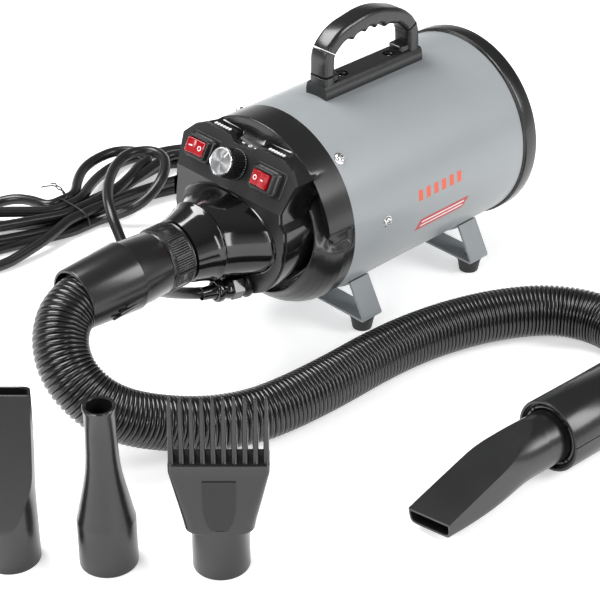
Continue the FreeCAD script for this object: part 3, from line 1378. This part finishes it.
def motor_rubbers():
    """Three rubber pads that hold the fan drum clear of the barrel."""
    pads = []
    for i in range(PAD_COUNT):
        pad = pipe_y(BARREL_R - BARREL_WALL - SEAT, CARRIER_R + SEAT, PAD_Y[0], PAD_Y[1])
        wedge = level_block((0, BARREL_R + OVER), (PAD_Y[0] - OVER, PAD_Y[1] + OVER), PAD_HALF_W)
        pads.append(pad.common(turned(wedge, PAD_TURN + i * FULL_TURN / PAD_COUNT)))
    return Part.makeCompound(pads)


def motor_bracket():
    """Pressed ring that ties the motor frame to the barrel screws."""
    outer = BARREL_R - BARREL_WALL - SEAT
    inner = BARREL_R - BARREL_WALL - 2.0
    ring = pipe_y(outer, inner, TIE_RING_Y[0], TIE_RING_Y[1])
    hub = pipe_y(TIE_HUB_R[0], TIE_HUB_R[1], FRAME_RING_Y[0], TIE_WEB_Y[1])
    web = pipe_y(inner + 0.1, TIE_HUB_R[0] - OVER, TIE_WEB_Y[0], TIE_WEB_Y[1])
    shape = ring.fuse(hub).fuse(web)
    for i in range(TIE_HOLES):
        opening = cyl_y(TIE_HOLE_R, FRAME_RING_Y[0], TIE_WEB_Y[1] + 4, 0, AXIS_Z + TIE_HOLE_AT)
        shape = shape.cut(turned(opening, (i + 0.5) * FULL_TURN / TIE_HOLES))
    for angle in MOTOR_SCREWS:
        shape = shape.cut(radial_hole(angle, MOTOR_SCREW_Y, SCREW_PILOT_R))
    return shape.cut(radial_hole(DOWN, FOOT_Y[0], FOOT_HOLE_R)).removeSplitter()


def heater_frame():
    """Crossed mica boards in a ring, held by four arms in the motor bracket."""
    low, high = MICA_Y
    upright = block(-MICA_HALF_T, MICA_HALF_T, low, high, AXIS_Z - MICA_HALF, AXIS_Z + MICA_HALF)
    level = level_block((-MICA_HALF, MICA_HALF), MICA_Y, MICA_HALF_T)
    shape = upright.fuse(level).fuse(pipe_y(MICA_RING_R[0], MICA_RING_R[1], low, high))
    reach = BARREL_R - BARREL_WALL - 2.2
    for i in range(ARM_COUNT):
        arm = level_block((MICA_ARM[0], reach), MICA_ARM[1:3], MICA_ARM[3])
        shape = shape.fuse(turned(arm, (i + 0.5) * FULL_TURN / ARM_COUNT))
    return shape.removeSplitter()


def heater_coil():
    """Turns of heating ribbon round the mica boards."""
    turns = []
    for i in range(COIL_TURNS):
        y = COIL_START + COIL_PITCH * i
        turn = pipe_y(COIL_R[0], COIL_R[1], y, y + COIL_W)
        for quarter in range(ARM_COUNT):
            gap = level_block(COIL_GAP, (y - OVER, y + COIL_W + OVER), MICA_HALF_T + SEAT)
            turn = turn.cut(turned(gap, quarter * RIGHT_ANGLE))
        turns += turn.Solids
    return turns


def thermal_cutout():
    """Round safety switch on the level mica board."""
    return Part.makeCylinder(4.0, 5.0, Vector(12, -75, AXIS_Z + MICA_HALF_T + SEAT), UP)


def circuit_board():
    """Speed control board standing on the shelf of the head, with its two large parts."""
    board = block(BOARD_X[0], BOARD_X[1], BOARD_Y[0], BOARD_Y[1], SHELF_Z + SEAT, BOARD_TOP)
    for x_low, x_high, y_high, z_low, z_high in (TRIAC, CAPACITOR):
        board = board.fuse(block(x_low, x_high, BOARD_Y[1], y_high, z_low, z_high))
    return board.removeSplitter()


# ---------------------------------------------------------------- write every node
def write_all():
    save("barrel_shell", barrel_shell())
    save("front_housing", front_housing())
    save("control_panel", control_panel())
    save("outlet_spout", outlet_spout())
    save("spout_seal", spout_seal())
    save("seam_screws", Part.makeCompound([pan_screw(a, SEAM_SCREW_Y) for a in SEAM_SCREWS]))
    save("motor_screws", Part.makeCompound([pan_screw(a, MOTOR_SCREW_Y) for a in MOTOR_SCREWS]))
    save("switch_body_left", switch_body(-1))
    save("switch_body_right", switch_body(1))
    save("rocker_left", rocker(-1))
    save("rocker_right", rocker(1))
    save("speed_knob", speed_knob())
    save("knob_cap", knob_cap())
    save("knob_pointer", knob_pointer())
    save("knob_shaft", knob_shaft())
    save("potentiometer", potentiometer())
    save("gland_body", gland_body())
    save("gland_nut", gland_nut())
    save("strain_relief", strain_relief())
    save("power_cord", swept_tube(CORD_ROUTE, CORD_D, "power_cord"))
    save("cord_hank", cord_hank())
    save("plug_body", plug_body())
    save("plug_pins", plug_pins())
    save("lock_ring", lock_ring())
    save("hose_cuff", hose_cuff())
    save("hose_tube", swept_tube(HOSE_ROUTE, HOSE_D, "hose_tube"))
    save("wand_shell_upper", wand_half(True))
    save("wand_shell_lower", wand_half(False))
    save("wand_coupling", wand_coupling())
    save("wand_hose_collar", wand_hose_collar())
    save("flat_nozzle", attached_nozzle())
    save("spare_flat_nozzle", spare_flat())
    save("spare_round_nozzle", spare_round())
    save("spare_comb_nozzle", spare_comb())
    save("handle_grip", handle_grip())
    save("handle_insert", handle_insert())
    save("handle_base", handle_base())
    save("handle_screws", handle_screws())
    save("handle_nuts", handle_nuts())
    save("front_leg", leg_frame(FOOT_Y[0]))
    save("rear_leg", leg_frame(FOOT_Y[1]))
    save("rubber_feet", rubber_feet())
    save("foot_screws", foot_screws())
    save("leg_rivets", leg_rivets())
    save("rear_collar", rear_collar())
    save("rear_grille", rear_grille())
    save("filter_foam", filter_foam())
    save("motor_stator", motor_stator())
    save("motor_frame", motor_frame())
    save("motor_bracket", motor_bracket())
    save("rotor_shaft", rotor_shaft())
    save("armature", Part.makeCompound([armature(), commutator()]))
    save("impellers", Part.makeCompound([impeller(y) for y in FAN_Y]))
    save("fan_shroud", fan_shroud())
    save("diffuser_plate", diffuser_plate())
    save("bearings", Part.makeCompound([bearing(REAR_BEARING), bearing(FRONT_BEARING)]))
    save("brush_holders", brush_holders())
    save("motor_rubbers", motor_rubbers())
    save("heater_assembly", Part.makeCompound([heater_frame()] + heater_coil() + [thermal_cutout()]))
    save("circuit_board", circuit_board())


write_all()
